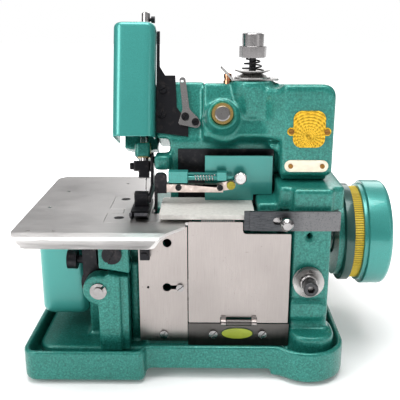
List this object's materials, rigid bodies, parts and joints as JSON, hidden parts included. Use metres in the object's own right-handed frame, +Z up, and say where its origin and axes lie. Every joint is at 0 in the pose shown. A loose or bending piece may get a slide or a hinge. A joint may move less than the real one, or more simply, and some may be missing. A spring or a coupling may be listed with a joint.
{
  "type": "serger overlock machine",
  "caption": "Portable overlock sewing machine with leaning needle head, loopers, knife, hinged front cover, handwheel and belt drive on an oil tray.",
  "frame": {"origin": "on the ground under the middle of the oil tray", "axes": "+X to the operator's right (handwheel side), +Y to the back (motor side), +Z up"},
  "size_m": [0.31, 0.256, 0.2957],
  "materials": {
    "hammertone": "sparkling hammertone enamel on castings",
    "smooth_green": "smooth metallic enamel",
    "steel_plate": "brushed stainless plate",
    "bright_steel": "ground steel",
    "chrome": "polished plating",
    "black_oxide": "black oxide, satin",
    "cast_dark": "bare cast iron, oiled",
    "brass": "turned brass",
    "rubber": "matt",
    "belt": "moulded cogged belt",
    "plaque": "stamped and lacquered"
  },
  "bodies": {
    "frame": {"base_tray": "hammertone", "rubber_feet": "rubber", "main_frame": "hammertone", "left_housing": "smooth_green", "front_bracket": "hammertone", "table_bracket": "hammertone", "cloth_table": "steel_plate", "needle_plate": "steel_plate", "left_front_plate": "steel_plate", "hinge_plate": "steel_plate", "latch_bar": "bright_steel", "shaft_bush": "brass", "drive_belt": "belt", "motor": "cast_dark", "motor_bracket": "cast_dark", "upper_arm": "hammertone", "inner_guard": "black_oxide", "rocker_bush": "brass", "head_casing": "hammertone", "bar_bushes": "brass", "head_cover": "smooth_green", "head_side_plate": "black_oxide", "thread_guide": "chrome", "lower_knife": "bright_steel", "guide_bar": "bright_steel", "guard_plate": "smooth_green", "spring_rod": "smooth_green", "knife_spring": "bright_steel", "tension_bracket": "steel_plate", "top_discs": "chrome", "top_post": "black_oxide", "top_spring": "black_oxide", "side_post": "bright_steel", "side_discs": "chrome", "side_spring": "bright_steel", "name_plates": "plaque", "frame_screws": "black_oxide"},
    "drive": {"main_shaft": "bright_steel", "handwheel": "smooth_green", "wheel_seal": "hammertone"},
    "motor_rotor": {"motor_rotor": "bright_steel"},
    "needle_lever": {"needle_lever": "cast_dark", "rocker_shaft": "bright_steel"},
    "connecting_rod": {"connecting_rod": "cast_dark"},
    "needle_bar": {"needle_bar": "bright_steel", "needle_clamp": "black_oxide", "needle": "chrome"},
    "looper": {"looper_rocker": "black_oxide", "looper_shaft": "bright_steel", "lower_looper": "chrome"},
    "upper_looper": {"upper_looper": "chrome"},
    "knife": {"knife_arm": "bright_steel"},
    "presser": {"presser_foot": "black_oxide", "presser_arm": "black_oxide"},
    "cover": {"looper_cover": "steel_plate"},
    "latch": {"latch_knob": "chrome"},
    "feed": {"feed_dog": "bright_steel"},
    "top_nut": {"top_nut": "chrome"},
    "side_nut": {"side_nut": "chrome"},
    "thumb_screw": {"thumb_screw": "chrome"}
  },
  "joints": [
    {"name": "main_spin", "type": "hinge", "parent": "frame", "child": "drive", "pos_m": [0, -0.003, 0.103], "axis": [1, 0, 0], "continuous": true},
    {"name": "motor_spin", "type": "hinge", "parent": "frame", "child": "motor_rotor", "pos_m": [0, 0.112, 0.077], "axis": [1, 0, 0], "continuous": true},
    {"name": "needle_lever_rock", "type": "hinge", "parent": "frame", "child": "needle_lever", "pos_m": [0.0306, 0.00204, 0.19906], "axis": [0, 0.9397, -0.342], "range_deg": [-12, 1.7]},
    {"name": "connecting_rod_pivot", "type": "hinge", "parent": "needle_lever", "child": "connecting_rod", "pos_m": [0.0706, 0.00063, 0.19517], "axis": [0, 0.9397, -0.342], "range_deg": [-1.7, 12]},
    {"name": "needle_bar_slide", "type": "slide", "parent": "frame", "child": "needle_bar", "axis": [0, 0.342, 0.9397], "range_m": [-0.0142, 0.0021]},
    {"name": "lower_looper_rock", "type": "hinge", "parent": "frame", "child": "looper", "pos_m": [-0.07, -0.055, 0.077], "axis": [0, 1, 0], "range_deg": [-12.5, 2]},
    {"name": "upper_looper_rock", "type": "hinge", "parent": "frame", "child": "upper_looper", "pos_m": [0.004, -0.03, 0.054], "axis": [0, 1, 0], "range_deg": [-1, 7]},
    {"name": "knife_rock", "type": "hinge", "parent": "frame", "child": "knife", "pos_m": [0.0385, -0.037, 0.156], "axis": [0, 1, 0], "range_deg": [-3.1, 0.5]},
    {"name": "presser_lift", "type": "hinge", "parent": "frame", "child": "presser", "pos_m": [-0.028, -0.01, 0.171], "axis": [1, 0, 0], "range_deg": [-8, 0], "stiffness_Nm_per_rad": 1.5, "springref_deg": 8.59},
    {"name": "looper_cover_hinge", "type": "hinge", "parent": "frame", "child": "cover", "pos_m": [0.045, -0.0748, 0.0466], "axis": [1, 0, 0], "range_deg": [0, 100]},
    {"name": "latch_slide", "type": "slide", "parent": "frame", "child": "latch", "axis": [1, 0, 0], "range_m": [-0.0065, 0]},
    {"name": "feed_slide", "type": "slide", "parent": "frame", "child": "feed", "axis": [0, 1, 0], "range_m": [-0.0025, 0.0025]},
    {"name": "top_tension_turn", "type": "hinge", "parent": "frame", "child": "top_nut", "pos_m": [0.056, -0.015, 0.27], "axis": [0, 0, 1], "range_deg": [-180, 180]},
    {"name": "side_tension_turn", "type": "hinge", "parent": "frame", "child": "side_nut", "pos_m": [0.102, -0.083, 0.0825], "axis": [0, -1, 0], "range_deg": [-180, 180]},
    {"name": "knife_screw_turn", "type": "hinge", "parent": "frame", "child": "thumb_screw", "pos_m": [0.0465, -0.036, 0.1625], "axis": [0, -1, 0], "range_deg": [-180, 180]}
  ],
  "couplings": [
    {"joint": "motor_spin", "follows": "main_spin", "ratio": 2.9615},
    {"joint": "connecting_rod_pivot", "follows": "needle_lever_rock", "ratio": -1},
    {"joint": "needle_bar_slide", "follows": "needle_lever_rock", "m_per_rad": 0.0676},
    {"joint": "lower_looper_rock", "follows": "needle_lever_rock", "ratio": 1},
    {"joint": "upper_looper_rock", "follows": "needle_lever_rock", "ratio": -0.5},
    {"joint": "knife_rock", "follows": "needle_lever_rock", "ratio": 0.25}
  ]
}
